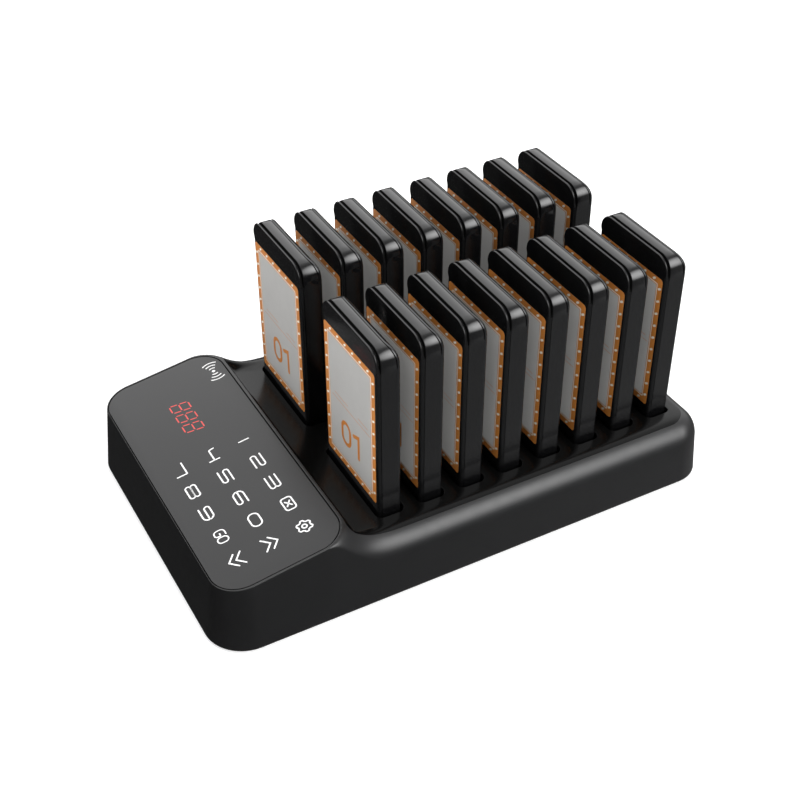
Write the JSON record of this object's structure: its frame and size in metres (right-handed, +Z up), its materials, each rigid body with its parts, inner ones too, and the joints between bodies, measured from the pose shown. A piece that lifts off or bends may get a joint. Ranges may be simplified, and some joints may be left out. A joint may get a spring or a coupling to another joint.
{
  "type": "restaurant paging set",
  "caption": "Guest paging set: a low charging base with a slanted touch keypad and columns of upright slots, each holding a flat pager that lifts out.",
  "frame": {"origin": "centre of the footprint, on the surface the feet stand on", "axes": "+X to the user's right, +Y from the keypad to the back row of pagers, +Z up"},
  "size_m": [0.171, 0.275, 0.1285],
  "materials": {
    "base_plastic": "satin moulded ABS",
    "pager_plastic": "smooth semi-gloss ABS",
    "panel": "back-printed touch panel, satin",
    "circuit_board": "solder mask",
    "display": "red seven-segment module",
    "rubber": "matte",
    "steel": "zinc plated",
    "contact_metal": "plated spring contacts",
    "shield": "tinned cans and foil",
    "light_guide": "frosted"
  },
  "bodies": {
    "base": {"top_housing": "base_plastic", "bottom_cover": "base_plastic", "keypad_glass": "panel", "keypad_board": "circuit_board", "led_display": "display", "charging_board": "circuit_board", "contact_strip_1": "contact_metal", "contact_strip_2": "contact_metal", "contact_strip_3": "contact_metal", "contact_strip_4": "contact_metal", "rf_module": "shield", "antenna": "contact_metal", "dc_jack": "base_plastic", "buzzer": "base_plastic", "foot_1": "rubber", "foot_2": "rubber", "foot_3": "rubber", "foot_4": "rubber", "screw_1": "steel", "screw_2": "steel", "screw_3": "steel", "screw_4": "steel"},
    "pager_l1": {"pager_l1_front": "pager_plastic", "pager_l1_case": "pager_plastic"},
    "pager_l2": {"pager_l2_front": "pager_plastic", "pager_l2_case": "pager_plastic"},
    "pager_l3": {"pager_l3_front": "pager_plastic", "pager_l3_case": "pager_plastic"},
    "pager_l4": {"pager_l4_front": "pager_plastic", "pager_l4_case": "pager_plastic"},
    "pager_l5": {"pager_l5_front": "pager_plastic", "pager_l5_case": "pager_plastic"},
    "pager_l6": {"pager_l6_front": "pager_plastic", "pager_l6_case": "pager_plastic"},
    "pager_l7": {"pager_l7_front": "pager_plastic", "pager_l7_case": "pager_plastic"},
    "pager_l8": {"pager_l8_front": "pager_plastic", "pager_l8_case": "pager_plastic"},
    "pager_r1": {"pager_r1_front": "pager_plastic", "pager_r1_case": "pager_plastic", "pager_r1_board": "circuit_board", "pager_r1_light_guide": "light_guide", "pager_r1_battery": "shield", "pager_r1_motor": "shield", "pager_r1_contacts": "contact_metal"},
    "pager_r2": {"pager_r2_front": "pager_plastic", "pager_r2_case": "pager_plastic"},
    "pager_r3": {"pager_r3_front": "pager_plastic", "pager_r3_case": "pager_plastic"},
    "pager_r4": {"pager_r4_front": "pager_plastic", "pager_r4_case": "pager_plastic"},
    "pager_r5": {"pager_r5_front": "pager_plastic", "pager_r5_case": "pager_plastic"},
    "pager_r6": {"pager_r6_front": "pager_plastic", "pager_r6_case": "pager_plastic"},
    "pager_r7": {"pager_r7_front": "pager_plastic", "pager_r7_case": "pager_plastic"},
    "pager_r8": {"pager_r8_front": "pager_plastic", "pager_r8_case": "pager_plastic"},
    "motor_weight": {"pager_r1_motor_weight": "contact_metal"}
  },
  "joints": [
    {"name": "pager_l1_lift", "type": "slide", "parent": "base", "child": "pager_l1", "axis": [0, 0, 1], "range_m": [0, 0.06]},
    {"name": "pager_l2_lift", "type": "slide", "parent": "base", "child": "pager_l2", "axis": [0, 0, 1], "range_m": [0, 0.06]},
    {"name": "pager_l3_lift", "type": "slide", "parent": "base", "child": "pager_l3", "axis": [0, 0, 1], "range_m": [0, 0.06]},
    {"name": "pager_l4_lift", "type": "slide", "parent": "base", "child": "pager_l4", "axis": [0, 0, 1], "range_m": [0, 0.06]},
    {"name": "pager_l5_lift", "type": "slide", "parent": "base", "child": "pager_l5", "axis": [0, 0, 1], "range_m": [0, 0.06]},
    {"name": "pager_l6_lift", "type": "slide", "parent": "base", "child": "pager_l6", "axis": [0, 0, 1], "range_m": [0, 0.06]},
    {"name": "pager_l7_lift", "type": "slide", "parent": "base", "child": "pager_l7", "axis": [0, 0, 1], "range_m": [0, 0.06]},
    {"name": "pager_l8_lift", "type": "slide", "parent": "base", "child": "pager_l8", "axis": [0, 0, 1], "range_m": [0, 0.06]},
    {"name": "pager_r1_lift", "type": "slide", "parent": "base", "child": "pager_r1", "axis": [0, 0, 1], "range_m": [0, 0.06]},
    {"name": "pager_r2_lift", "type": "slide", "parent": "base", "child": "pager_r2", "axis": [0, 0, 1], "range_m": [0, 0.06]},
    {"name": "pager_r3_lift", "type": "slide", "parent": "base", "child": "pager_r3", "axis": [0, 0, 1], "range_m": [0, 0.06]},
    {"name": "pager_r4_lift", "type": "slide", "parent": "base", "child": "pager_r4", "axis": [0, 0, 1], "range_m": [0, 0.06]},
    {"name": "pager_r5_lift", "type": "slide", "parent": "base", "child": "pager_r5", "axis": [0, 0, 1], "range_m": [0, 0.06]},
    {"name": "pager_r6_lift", "type": "slide", "parent": "base", "child": "pager_r6", "axis": [0, 0, 1], "range_m": [0, 0.06]},
    {"name": "pager_r7_lift", "type": "slide", "parent": "base", "child": "pager_r7", "axis": [0, 0, 1], "range_m": [0, 0.06]},
    {"name": "pager_r8_lift", "type": "slide", "parent": "base", "child": "pager_r8", "axis": [0, 0, 1], "range_m": [0, 0.06]},
    {"name": "motor_spin", "type": "hinge", "parent": "pager_r1", "child": "motor_weight", "pos_m": [0.03875, -0.039, 0.1], "axis": [1, 0, 0], "continuous": true}
  ]
}
